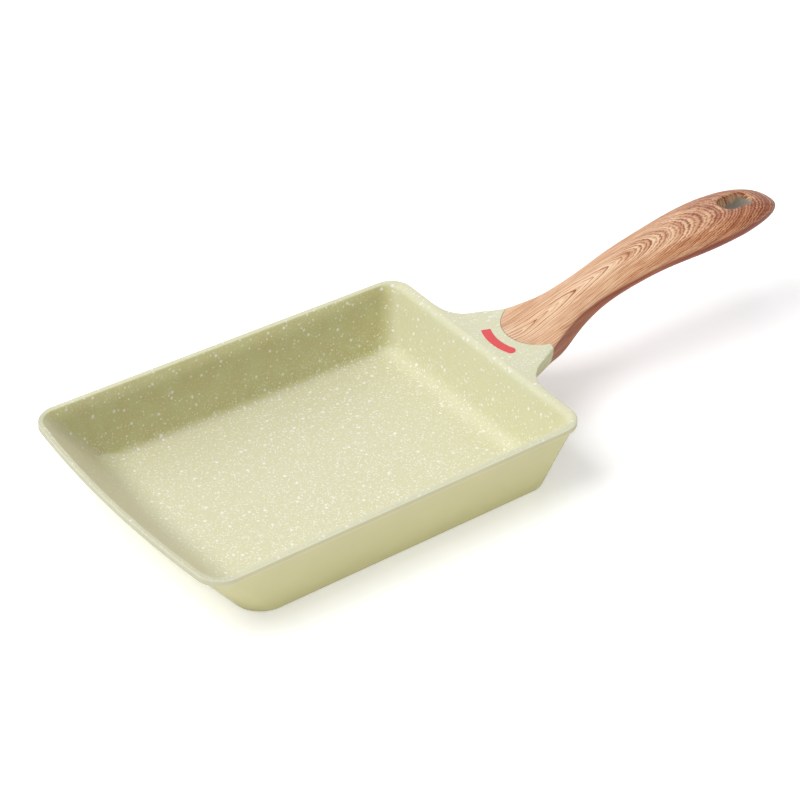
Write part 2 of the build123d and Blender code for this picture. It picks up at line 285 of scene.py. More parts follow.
def plainCoating():
    # Sprayed heat-resistant paint outside: satin, a little browner, with a fine orange peel, and slightly
    # deeper towards the base, as painted shade near the floor. The lip is a little darker, as painted shade
    # on its outer face, with a thin pale line at its lower edge, a painted highlight, and the angle under
    # it is darker, as painted shade. At the front the lip is an even grey green, without the pale line.
    o = outside
    material, add = newMaterial("heatPaintSprayedPlain")
    place = add("SeparateXYZ", add("TexCoord").outputs["Object"])
    height, (foot, lipTop) = place.outputs["Z"], (end * mm for end in o["lipEnds"])
    # Deeper towards the base: painted shade near the floor
    share = add("MapRange", height, *(end * mm for end in o["baseShadeEnds"]))
    shade = add("Mix", {0: share, 6: colour(o["low"]), 7: colour(o["high"])}, data_type="RGBA")
    behind = add("MapRange", place.outputs["X"], *(x * mm for x in coating["frontX"][::-1]))
    lip = add("Mix", {0: behind, 6: colour(o["frontLip"]), 7: colour(o["lip"])}, data_type="RGBA")
    # The lip, a little darker: painted shade on its outer face
    shade = add("Mix", {0: add("MapRange", height, foot, lipTop), 6: shade, 7: lip}, data_type="RGBA")
    # A thin pale line at the lip's lower edge, left out at the front: a painted highlight
    half = o["highlightLineWidth"] / 2 * mm
    onHighlightLine = add("Math", height, foot + half, half, operation="COMPARE")
    onHighlightLine = add("Math", onHighlightLine, behind, operation="MULTIPLY")
    shade = add("Mix", {0: onHighlightLine, 6: shade, 7: colour(o["line"])}, data_type="RGBA")
    # The angle under the lip, darker: painted shade
    half = o["angleShadeWidth"] / 2 * mm
    inAngleShade = add("Math", height, foot - half, half, operation="COMPARE")
    angle = add("MapRange", inAngleShade, 0, 1, 1, o["angleShadeTone"])
    cloud = add("MapRange", lumps(add, o["cloud"], 2.0), 0.3, 0.7, 1 - o["cloudTone"], 1 + o["cloudTone"])
    tone = add("Math", cloud, angle, operation="MULTIPLY")
    skin = add("VectorMath", shade, {"Scale": tone}, operation="SCALE")
    return finishMaterial(material, skin, lumps(add, o["peel"], 3.0), 0.15, 0.1, o["shader"])


film = {
    "light": "#F0D0AE", "middle": "#D4A077", "line": "#A76440", "deep": "#853B25", "slotGrey": "#A6A499",
    "ringStep": 0.55, "groupStep": 1.9, "groupShift": 1.6, "middleLine": -0.4,    # mm
    # depth = start + slope * x + growth * (x past bend)^2: narrow arches near the pan, round ones by the slot
    "start": -13.1, "slope": 0.125, "bend": 150.0, "growth": 0.0009,
    # power and raggedness of the pointed arches before the first X, and of the round ones after the second
    "roundX": (150, 195), "powers": (1.5, 2.4), "ragged": (0.3, 0.75),
    # lump along and across in mm, detail and seed of each noise, and how far the first two shift, in mm
    "swell": (30, 60, 1.0, 3.1), "drift": (40, 10, 2.0, 7.4), "jag": (2.4, 0.9, 2.0, 1.9),
    "grain": (9, 0.8, 1.0, 5.2), "cloud": (30, 5, 2.0, 8.8), "swellShift": 2.4, "driftShift": 2.0, "tear": 3.0,
    # X, or share of the slot's depth, from and to, and the tones there
    "tipTone": (185, 240, 0.06, 0.4), "slotTone": (0.01, 0.1, 0, 0.45), "bare": (0.61, 0.75),
    "shader": {"Roughness": 0.38, "IOR": 1.5, "Specular IOR Level": 0.32},
}


def woodFilm():
    # Wood-look film pressed on moulded phenolic: satin, with nested arches that point to the tip, as a
    # flat-sawn board shows. A ring is where (depth^p + across^p)^(1/p) passes a whole step, with p from
    # 1.5 for pointed arches near the pan to 2.4 for round ones, and the depth grows along the handle,
    # faster beyond its bend. The print is read from the surface's own map: along and round, in mm.
    f = film
    material, add = newMaterial("phenolicMouldedWoodFilm")
    place = add("UVMap", uv_map="surfaceMm")
    parts = add("SeparateXYZ", place)
    along, across = parts.outputs["X"], parts.outputs["Y"]
    below = add("Attribute", attribute_name="belowEdge").outputs["Fac"]
    slot = add("Attribute", attribute_name="slotDepth").outputs["Fac"]

    def printNoise(alongMm, acrossMm, detail, seed):
        # Noise stretched along the print, from -0.5 to 0.5: one lump is alongMm by acrossMm.
        spot = add("Mapping", {"Vector": place, "Location": (seed, seed * 1.7, seed),
                               "Scale": (1 / alongMm, 1 / acrossMm, 1)})
        noise = add("TexNoise", {"Vector": spot, "Scale": 1.0, "Detail": detail})
        return add("Math", noise, 0.5, operation="SUBTRACT")

    # How far a place is off the middle line, and how deep in the log: the log's slow waves part the
    # arches into groups
    side = add("Math", printNoise(*f["drift"]), f["driftShift"], across, operation="MULTIPLY_ADD")
    side = add("Math", add("Math", side, f["middleLine"], operation="SUBTRACT"), operation="ABSOLUTE")
    depth = add("Math", along, f["slope"], f["start"], operation="MULTIPLY_ADD")
    past = add("Math", add("Math", along, f["bend"], operation="SUBTRACT"), 0, operation="MAXIMUM")
    past = add("Math", past, past, operation="MULTIPLY")
    depth = add("Math", past, f["growth"], depth, operation="MULTIPLY_ADD")
    depth = add("Math", printNoise(*f["swell"]), f["swellShift"], depth, operation="MULTIPLY_ADD")
    depth = add("Math", depth, 0, operation="MAXIMUM")
    power = add("MapRange", along, *f["roundX"], *f["powers"])
    deep, wide = (add("Math", part, power, operation="POWER") for part in (depth, side))
    root = add("Math", 1, power, operation="DIVIDE")
    radius = add("Math", add("Math", deep, wide, operation="ADD"), root, operation="POWER")
    feather = add("MapRange", along, *f["roundX"], *f["ragged"])
    radius = add("Math", printNoise(*f["jag"]), feather, radius, operation="MULTIPLY_ADD")

    # Ring lines: each has its own boldness, (number^2 * 0.75 + 0.47), times 1 + share * place for these
    rings = add("Math", radius, f["ringStep"], operation="DIVIDE")
    ring = add("Math", rings, operation="FLOOR")
    number = add("TexWhiteNoise", {"W": ring}, noise_dimensions="1D")
    bold = add("Math", add("Math", number, 2.0, operation="POWER"), 0.75, 0.47, operation="MULTIPLY_ADD")
    odd = add("Math", ring, 2.0, operation="MODULO")             # odd rings come in only beyond the middle
    for share, spot in (
        (1.0, add("MapRange", along, 180, 120, 0, -0.12)),
        (odd, add("MapRange", along, 190, 150, 0, -0.65)),
        (add("MapRange", side, 5, 10, 0, -0.25), add("MapRange", along, 150, 190)),
        (add("MapRange", side, 3, 7, 0, 0.5), add("MapRange", along, 160, 130)),
    ):
        bold = add("Math", bold, add("Math", share, spot, 1, operation="MULTIPLY_ADD"), operation="MULTIPLY")
    profile = add("ValToRGB", add("Math", rings, operation="FRACT"))
    lines = add("Math", profile, bold, operation="MULTIPLY")

    # Groups of rings, the pale heartwood near the pan, the sides darker, partly denser print and partly
    # painted shade, and the finer grain
    group = add("Math", radius, f["groupShift"], operation="ADD")
    group = add("Math", add("Math", group, f["groupStep"], operation="DIVIDE"), operation="FRACT")
    heart = add("MapRange", along, 185, 150, 0, 0.2)
    heart = add("Math", add("MapRange", side, 2, 8, 0.5, 0.3), heart, operation="SUBTRACT")
    for share, spot in (
        (add("Math", group, 2.5, operation="POWER"), heart),
        (add("MapRange", side, 6, 2, 0, -0.1), add("MapRange", along, 165, 145)),
        (add("MapRange", side, 5, 10, 0, 0.14), add("MapRange", along, 130, 160)),
    ):
        lines = add("Math", share, spot, lines, operation="MULTIPLY_ADD")
    lines = add("Math", lines, add("MapRange", below, 0, 2, 1, 0.6), operation="MULTIPLY")
    lines = add("Math", printNoise(*f["grain"]), 0.5, lines, operation="MULTIPLY_ADD")
    lines = add("Math", printNoise(*f["cloud"]), 0.6, lines, operation="MULTIPLY_ADD")

    # Darker along the widest line and under it, as painted shade on the side that faces away from the
    # light, and darker towards the tip; the slot's wall keeps the lighter print
    band = add("Math", add("MapRange", below, -0.4, 0.2), add("MapRange", below, 0.6, 2), operation="SUBTRACT")
    under = add("MapRange", below, -0.4, 1.2, 0, 0.6)
    band = add("Math", band, add("MapRange", along, 135, 180, 0.18, 0), under, operation="MULTIPLY_ADD")
    toTip = add("MapRange", along, *f["tipTone"])
    toTip = add("Math", toTip, add("MapRange", slot, *f["slotTone"]), operation="SUBTRACT")
    lines = add("Math", lines, add("Math", toTip, band, operation="ADD"), operation="ADD")
    wood = add("ValToRGB", lines)

    # The film runs out deep in the slot, along a torn edge
    fade = add("Math", lumps(add, f["tear"], 3.0), 0.5, slot, operation="MULTIPLY_ADD")
    near, inside = add("MapRange", along, 222, 234, 0, 0.2), add("MapRange", slot, 0.01, 0.06)
    fade = add("Math", near, inside, fade, operation="MULTIPLY_ADD")
    bare = add("MapRange", fade, *f["bare"])
    skin = add("Mix", {0: bare, 6: wood, 7: colour(f["slotGrey"])}, data_type="RGBA")
    levels = ((0.0, 0.0), (0.4, 0.1), (0.66, 0.7), (0.82, 1.0), (0.93, 0.5), (1.0, 0.0))
    tones = ((0.0, "light"), (0.34, "middle"), (0.75, "line"), (1.0, "deep"))
    for ramp, stops in ((profile, [(spot, (level, level, level, 1)) for spot, level in levels]),
                        (wood, [(spot, colour(f[tone])) for spot, tone in tones])):
        elements = ramp.color_ramp.elements
        elements[0].color, elements[1].color = stops[0][1], stops[-1][1]
        for spot, tone in stops[1:-1]:
            elements.new(spot).color = tone
    return finishMaterial(material, skin, lines, 0.1, 0.08, f["shader"])


enamel = {
    "red": "#DB454A", "light": "#E35457", "cloud": 3.5,
    "shader": {"Roughness": 0.48, "IOR": 1.5, "Specular IOR Level": 0.3},
}


def redEnamel():
    # Heat-sensitive enamel in the shoulder: an even coral red with a soft gloss and a faint cloud.
    material, add = newMaterial("enamelFilledRed")
    cloud = lumps(add, enamel["cloud"], 3.0)
    skin = add("Mix", {0: cloud, 6: colour(enamel["red"]), 7: colour(enamel["light"])}, data_type="RGBA")
    return finishMaterial(material, skin, cloud, 0.1, 0.1, enamel["shader"])


def metal(name, light, dark, grain, roughness, strength):
    # A metal whose tone and roughness vary with a grain: its lump sizes in mm along each axis.
    material, add = newMaterial(name)
    noise = lumps(add, grain, 4.0)
    tone = add("Mix", {0: noise, 6: colour(dark), 7: colour(light)}, data_type="RGBA")
    rough = add("MapRange", noise, 0, 1, roughness * 0.75, roughness * 1.25)
    return finishMaterial(material, tone, noise, strength, 0.05, {"Roughness": rough, "Metallic": 1.0})


coatingSpeckled, coatingPlain, woodLook, redBar = speckledCoating(), plainCoating(), woodFilm(), redEnamel()
# Stainless steel, brushed along the pan: fine straight scratches that stretch the highlights across them
brushedSteel = metal("stainlessSteelBrushed", "#C9C8C4", "#A9A8A4", (9, 0.35, 9), 0.34, 0.25)
# Aluminium, as cast, that fills the plate's holes: duller and whiter than the steel round it
castAluminium = metal("aluminiumCastBare", "#CFCFCB", "#B4B4B0", 0.8, 0.55, 0.3)
# Zinc-plated steel: bluish grey with a fine crystal mottle
zincPlate = metal("steelZincPlated", "#C6C8C9", "#9EA2A5", 0.7, 0.3, 0.2)
print("materials made")


# Pan: rings carried from the middle of the floor, over the rim and down to the middle of the base

pan = {
    "height": 34.1, "floor": 3.8, "lipHeight": 3.2, "lipOverhang": 1.3, "bow": 4.8, "taper": 2.7,
    # how far each wall's lines stand out: inner floor, inner rim, outer rim, base
    "front": (74.41, 100.7, 102.5, 77.5), "rear": (75.67, 83.3, 87.5, 77.5),
    "side": (61.07, 69.4, 72.2, 63.0),
    "frontFillet": 21.0, "sideFillet": 4.5, "rearFillet": 8.0, "floorMargin": 12.0, "baseMargin": 2.5,
    "rimInnerRadius": 0.8, "rearRimInnerRadius": 3.9, "rimOuterRadius": 0.75,
    "lipFootRadius": 0.3, "angleRadius": 0.45, "footRadius": 0.8,
    "frontCorner": 10.3, "rearCorner": 10.5, "floorCorner": 9.0, "baseCorner": 11.5, "leastCorner": 2.0,
    "covered": (41.0, 46.0),    # half widths between which the shoulder stops covering the rim
}


def wallProfile(lines, fillet, innerRadius):
    # One wall's section, from the floor over the rim to the base: distance out and height.
    p = pan
    floorLine, innerRim, outerRim, base = lines
    lipFoot, wallTop = p["height"] - p["lipHeight"], outerRim - p["lipOverhang"]
    corners = [
        (floorLine - p["floorMargin"], p["floor"]), (floorLine, p["floor"]), (innerRim, p["height"]),
        (outerRim, p["height"]), (outerRim, lipFoot), (wallTop, lipFoot), (base, 0), (base - p["baseMargin"], 0),
    ]
    radii = [fillet, innerRadius, p["rimOuterRadius"], p["lipFootRadius"], p["angleRadius"], p["footRadius"]]
    return roundedLine(corners, radii)


def outlineRings(front, rear, frontHalf, rearHalf, bow, frontRadius, rearRadius):
    # Rings round a tapered rectangle with rounded corners, one for each row of sizes: four lines and
    # four arcs whose ends touch them, and the front line bowed out by bow * (1 - (y / half)^2).
    columns = (front, rear, frontHalf, rearHalf, bow, frontRadius, rearRadius)
    columns = [np.asarray(v, float)[:, None] for v in columns]
    front, rear, frontHalf, rearHalf, bow, frontRadius, rearRadius = columns
    line, arc = np.linspace(0, 1, 41)[None, 1:], np.linspace(0, 1, 15)[None, 1:]
    end, halfLine = np.linspace(0, 1, 25)[None, :], line[:, 1::2]
    slope = np.arctan2(frontHalf - rearHalf, rear + front)
    normal = math.pi / 2 - slope                      # the way that the side wall faces
    rearReach = rearRadius * np.tan(normal / 2)
    frontReach = frontRadius * np.tan((math.pi - normal) / 2)
    rearX, rearY = rear - rearRadius, rearHalf - rearReach
    turn = normal * arc
    cornerX, cornerY = rearX + rearRadius * np.cos(turn), rearY + rearRadius * np.sin(turn)
    frontX, frontY = -front + frontRadius, frontHalf - frontReach
    turn = normal + (math.pi - normal) * arc
    noseX, noseY = frontX + frontRadius * np.cos(turn), frontY + frontRadius * np.sin(turn)
    startX, startY = cornerX[:, -1:], cornerY[:, -1:]
    stopX, stopY = frontX + frontRadius * np.cos(normal), frontY + frontRadius * np.sin(normal)
    x = np.concatenate([rear + 0 * end, cornerX, mix(startX, stopX, line), noseX, -front + 0 * halfLine], axis=1)
    y = np.concatenate([rearY * end, cornerY, mix(startY, stopY, line), noseY, frontY * (1 - halfLine)], axis=1)
    atFront = np.concatenate([0 * end, 0 * arc, 0 * line, smoothStep(0, 1, arc), 0 * halfLine + 1], axis=1)
    atRear = np.concatenate([0 * end + 1, smoothStep(0, 1, 1 - arc), 0 * line, 0 * arc, 0 * halfLine], axis=1)
    x = x - bow * (1 - (y / frontHalf) ** 2) * smoothStep(0, 0.2, atFront)
    # the other half, backwards, without the two points on the middle line
    return [np.concatenate([v, sign * v[:, -2:0:-1]], axis=1)
            for v, sign in ((x, 1), (y, -1), (atFront, 1), (atRear, 1))]


def panShell(surface):
    # Rings whose distances out and heights pass round the corners from one wall's section to the next,
    # and, inside them, the floor and the recess for the plate, both drawn in to their middles.
    p = pan
    front = wallProfile(p["front"], p["frontFillet"], p["rimInnerRadius"])
    rear = wallProfile(p["rear"], p["rearFillet"], p["rearRimInnerRadius"])
    side = wallProfile(p["side"], p["sideFillet"], p["rimInnerRadius"])
    count = len(side)
    inside = np.arange(count) < 1 + 1.5 * cornerPoints       # up to the middle of the rim's inner arc
    lipFoot = p["height"] - p["lipHeight"]
    out, high = side[:, 0], side[:, 1]
    upWall = (high - p["floor"]) / (p["height"] - p["floor"])
    straight = mix(p["side"][0], p["side"][1], upWall)

    def cornerRadii(rim):
        # Plan radius of a corner at each ring, so that its walls keep their thickness round it.
        inner = mix(p["floorCorner"], rim - (p["side"][2] - p["side"][1]), upWall)
        inner = np.maximum(inner - (straight - out), p["leastCorner"])
        lip = rim - (p["side"][2] - out)
        outer = mix(p["baseCorner"], rim - p["lipOverhang"], high / lipFoot)
        radius = np.where(inside, inner, np.where(high > lipFoot - 0.01, lip, outer))
        return np.where(high < 0.01, p["baseCorner"] - (p["side"][3] - out), radius)

    x, y, atFront, atRear = outlineRings(
        front[:, 0], rear[:, 0], out, out - p["taper"], np.full(count, p["bow"]),
        cornerRadii(p["frontCorner"]), cornerRadii(p["rearCorner"]))
    z = high[:, None] + (front[:, 1] - high)[:, None] * atFront + (rear[:, 1] - high)[:, None] * atRear
    wall = np.stack([x, y, z], axis=-1)
    middle = np.array([(rear[0, 0] - front[0, 0]) / 2, 0, p["floor"]])
    floor = middle + (wall[:1] - middle) * np.linspace(0, 1, 7)[:-1, None, None]
    plan = [plate["halfLength"]] * 2 + [plate["halfWidth"]] * 2 + [0] + [plate["corner"]] * 2
    x, y, _, _ = outlineRings(*([size, size] for size in plan))
    recess = np.stack([x, y, np.array([[0], [plate["depth"]]]) + 0 * x], axis=-1)
    centre = np.array([0, 0, plate["depth"]])
    base = centre + (recess[1:] - centre) * np.array([0.5, 0])[:, None, None]
    rings = np.concatenate([floor, wall, recess, base])

    # The map's u is the distance from the rim's outer edge, in mm, with 99 on the floor and -99 on the
    # base. Beside the shoulder it stays over 1.5, so that the rim's paler edge, a painted highlight, doesn't
    # show there.
    edgeStation = 3 * cornerPoints - 1                   # the foot of the rim's outer arc
    number = (np.arange(len(rings) - 1) >= len(floor) + edgeStation).astype(int)
    walked = np.concatenate([[0], np.cumsum(np.hypot(np.diff(out), np.diff(high)))])
    fromEdge = walked[edgeStation] - walked
    fromEdge = np.concatenate([[99.0] * len(floor), fromEdge, [-99.0] * (len(recess) + len(base))])
    covered = np.where(fromEdge > -1, 1.5 + 0.35 * np.maximum(fromEdge - 1.5, 0), fromEdge)
    behind = np.zeros(rings.shape[:2])                   # 1 where the shoulder covers the rim
    behind[len(floor):len(floor) + count] = atRear * (1 - smoothStep(*p["covered"], np.abs(wall[..., 1])))
    u = mix(fromEdge[:, None], covered[:, None], behind)
    surface.add(rings, np.stack([u, 0 * u], axis=-1), number, closed=True)


plate = {
    "halfLength": 66.55, "halfWidth": 49.35, "corner": 10.05, "depth": 0.84,    # the recess for it
    "columns": 10, "rows": 7, "pitch": 12.0, "hole": 2.15,
    "bossRoot": 1.2, "bossEdge": 0.14, "bossFoot": 0.03, "softEdge": 0.12,      # heights over the base's face
}


def plateBosses(surface):
    # Round pads of the casting that fill the plate's holes: a disc with a softened edge, at each hole.
    p = plate
    columns, rows = ((np.arange(p[key]) - (p[key] - 1) / 2) * p["pitch"] for key in ("columns", "rows"))
    across, along = np.meshgrid(columns, rows)
    angle = np.linspace(0, 2 * math.pi, 17)[:-1]
    radii = np.array([p["hole"], p["hole"], p["hole"] - p["softEdge"], 0])
    heights = np.array([p["bossRoot"], p["bossEdge"], p["bossFoot"], p["bossFoot"]])
    x, y = radii[:, None] * np.cos(angle), radii[:, None] * np.sin(angle)
    for centreX, centreY in zip(across.ravel(), along.ravel()):
        disc = np.stack([x + centreX, y + centreY, heights[:, None] + 0 * x], axis=-1)
        surface.add(disc, material=2, closed=True)


# Form shared by the shoulder and the handle: sections along X

form = {
    "rootX": 79.0, "tipStartX": 218.5, "tipX": 248.9,
    "rows": [
        # x share, half width, height of the widest line over the rim, crown over it, belly under it
        (0.000, 29.61, -1.30, 0.30, 20.70), (0.065, 28.20, -0.50, 0.30, 21.49), (0.129, 24.62, 0.41, 0.30, 19.73),
        (0.172, 21.74, -0.02, 0.90, 19.10), (0.215, 18.77, 0.21, 1.90, 18.99), (0.265, 15.59, 1.96, 2.70, 21.01),
        (0.315, 13.05, 3.76, 3.30, 21.78), (0.373, 11.31, 6.27, 3.80, 17.73), (0.452, 10.73, 9.37, 4.10, 12.25),
        (0.570, 11.96, 13.21, 4.40, 8.91), (0.728, 13.45, 16.80, 4.80, 9.00), (0.864, 15.19, 18.39, 5.30, 9.79),
        (1.000, 15.10, 19.39, 5.40, 10.01),
    ],
    "tipKnots": (0.2, 0.4, 0.58), "tipNarrow": 0.18, "tipLift": 0.6, "tipDrop": 3.1,
    "crownPower": 2.5, "seamX": 108.7, "seamCentreX": 116.2, "seamRadius": 18.0, "seamGap": 0.15,
    "seamSearch": (90.0, 112.0),    # X between which the seam lies
}


def tipSizes(share):
    # Half width, height, crown and belly of the tip: closing = 1 - share^2.06 draws them in to nothing.
    f = form
    _, half, height, crown, belly = f["rows"][-1]
    closing = np.clip(1 - share**2.06, 0, 1)
    return np.stack([
        half * (1 - f["tipNarrow"] * share) * closing**0.38,
        height + f["tipLift"] * share - f["tipDrop"] * share**3.2,
        crown * closing**0.42,
        belly * closing**0.42,
    ])


def formSizes(x):
    # Sizes of the section at x: a spline through the rows and the tip's first sections, then the tip itself.
    f = form
    rows, tipLength, shares = np.array(f["rows"]), f["tipX"] - f["tipStartX"], np.array(f["tipKnots"])
    knots = np.concatenate([mix(f["rootX"], f["tipStartX"], rows[:, 0]), f["tipStartX"] + tipLength * shares])
    values = np.concatenate([rows[:, 1:].T, tipSizes(shares)], axis=1)
    share = np.clip((x - f["tipStartX"]) / tipLength, 0, 1)
    limited = np.minimum(x, knots[-1])
    body = np.stack([splineThrough(knots, v, limited) for v in values])
    return mix(body, tipSizes(share), smoothStep(*f["tipKnots"][:2], share))


def seamLine(y, shift):
    # Seam in plan: the plane x = seamX with a round tongue, of radius seamRadius, standing out of it.
    f = form
    radius, flat = f["seamRadius"] - shift, f["seamX"] + shift
    tongue = f["seamCentreX"] - np.sqrt(np.maximum(radius**2 - y**2, 0))
    return np.where(np.abs(y) < radius, np.minimum(tongue, flat), flat)


def seamStart(fraction, halfWidth, shift):
    # Where a line that keeps its share of the half width meets the seam, found by halving.
    low, high = (np.full(fraction.shape, end) for end in form["seamSearch"])
    for _ in range(40):
        middle = (low + high) / 2
        beyond = middle > seamLine(halfWidth(middle) * fraction, shift)
        low, high = np.where(beyond, low, middle), np.where(beyond, middle, high)
    return (low + high) / 2


shoulder = {
    "flareX": 87.5, "flareHalf": 40.0, "flareEndX": 97.2, "web": 5.0, "edge": 0.8, "flatPower": 9.0,
    # X between which the form takes over the height, the crown grows round, and the web runs out
    "formX": (89.0, 103.0), "roundX": (95.0, 112.0), "webEndX": (95.0, 104.0),
    "rootX": 75.97, "rootSlope": 0.281, "rootFrom": 86.0,    # the root's face, inside the rear wall
    "sink": 0.03, "sinkX": (86.2, 87.3),                     # how far and where it stays under the rim
}


def shoulderHalf(x):
    # Half width of the shoulder's top: 40 at the rim, an arc that leaves the rim's line, then the form.
    s = shoulder
    endHalf = formSizes(np.array([s["flareEndX"]]))[0][0]
    run, drop = s["flareEndX"] - s["flareX"], s["flareHalf"] - endHalf
    radius = (run**2 + drop**2) / (2 * run)
    arc = s["flareHalf"] - np.sqrt(np.maximum(radius**2 - (radius - np.maximum(x - s["flareX"], 0)) ** 2, 0))
    return np.where(x < s["flareEndX"], arc, formSizes(x)[0])


def shoulderEdge(x):
    # Height of the shoulder's edge at x: the rim's top less a soft edge, which becomes the form's height.
    s = shoulder
    return mix(pan["height"] - s["edge"], pan["height"] + formSizes(x)[1], smoothStep(*s["formX"], x))


def shoulderTop(x, share):
    # Height of the shoulder's top at x, at a share of its half width: edge + rise * (1 - share^p)^(1/p),
    # with p from 9 for a flat top by the pan to the form's 2.5.
    s = shoulder
    rise = mix(s["edge"], formSizes(x)[2], smoothStep(*s["formX"], x))
    power = mix(s["flatPower"], form["crownPower"], smoothStep(*s["roundX"], x))
    return shoulderEdge(x) + rise * np.maximum(1 - share**power, 0) ** (1 / power)


def panShoulder(surface):
    # Sections across X: a flat top with a soft edge that becomes the form's crown, and below it the
    # smooth union (a^3 + b^3)^(1/3) of a thin web's depth and the lug's half ellipse.
    s = shoulder
    share = 1 - (1 - np.linspace(0, 1, 44)) ** 3
    fraction = np.concatenate([-share[::-1], share[1:]])
    start = seamStart(fraction, shoulderHalf, 0)

    def section(x, top):
        # Y across the section at x, and the height of its top or of its underside.
        size, y = np.abs(fraction), shoulderHalf(x) * fraction
        if top:
            return y, shoulderTop(x, size)
        half, _, _, belly = formSizes(x)
        lug = belly * np.sqrt(np.maximum(1 - (y / half) ** 2, 0))
        web = (s["web"] - s["edge"]) * (1 - smoothStep(*s["webEndX"], x)) * np.maximum(1 - size**8, 0) ** (1 / 8)
        return y, shoulderEdge(x) - (lug**3 + web**3) ** (1 / 3)

    grids = []
    for top in (True, False):
        _, rootHeight = section(np.full(fraction.shape, s["rootFrom"]), top)
        root = s["rootX"] + s["rootSlope"] * np.clip(rootHeight, 0, pan["height"] - 0.1)
        first = root + (s["flareX"] - root) * np.linspace(0, 1, 5)[:-1, None]
        rest = s["flareX"] + (start - s["flareX"]) * np.linspace(0, 1, 64)[:, None] ** 1.8
        x = np.concatenate([first, rest])
        y, z = section(x, top)
        if top:
            z = z - s["sink"] * (1 - smoothStep(*s["sinkX"], x))
        grids.append(np.stack([x, y, z], axis=-1))
    topGrid, bottomGrid = grids
    u = np.full(topGrid.shape[:2], shoulderMap)
    surface.add(topGrid, np.stack([u, 0 * u], axis=-1), 0, flip=True)
    surface.add(bottomGrid, material=1)
    for row, flip in ((0, False), (-1, True)):                    # close the root and the seam's face
        face = mix(topGrid[row], bottomGrid[row], np.linspace(0, 1, 9)[:, None, None])
        surface.add(face, material=1, flip=flip)


def markDustAndSheen(piece):
    # Share of the pale ground at each point, dust with a painted sheen: 0.85, and 0.95 where the normal
    # turns to +X, on the front wall, which is painted lighter and warmer there as painted light, and less
    # where it turns to +Y or -Y, as painted shade on the long walls.
    mesh, c = piece.data, coating
    normals = np.empty(len(mesh.vertices) * 3, np.float32)
    mesh.vertices.foreach_get("normal", normals)
    share = mix(c["dustSheenShare"], c["frontDustLightShare"], smoothStep(0.45, 0.75, normals[0::3]))
    share = share * (1 - smoothStep(0.4, 0.92, np.abs(normals[1::3])))
    layer = mesh.attributes.new("dustAndSheen", "FLOAT", "POINT")
    layer.data.foreach_set("value", share.astype(np.float32))


panSurface = Surface()
panShell(panSurface)
panShoulder(panSurface)
plateBosses(panSurface)
panPiece = panSurface.build("panBodyCoated", [coatingSpeckled, coatingPlain, castAluminium])
markDustAndSheen(panPiece)
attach(panPiece, "root")
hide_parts("pan_body")
print("pan made")


# Handle: half a shell from the top's middle line round the side to the bottom's, and its mirror image

handle = {
    "slotX": 227.1, "slotLength": 18.0, "slotWidth": 10.4, "slotEdge": 0.8, "bodyX": 113.0, "tipSpacing": 2.63,
    "recessX": 111.0, "recessZ": 29.6, "recessTilt": 15.0, "recessRadius": 5.6, "recessLength": 30.0,
    "ledge": 6.3,
}


def slotEnds():
    # X of the centres of the slot's two round ends.
    reach = (handle["slotLength"] - handle["slotWidth"]) / 2
    return handle["slotX"] - reach, handle["slotX"] + reach


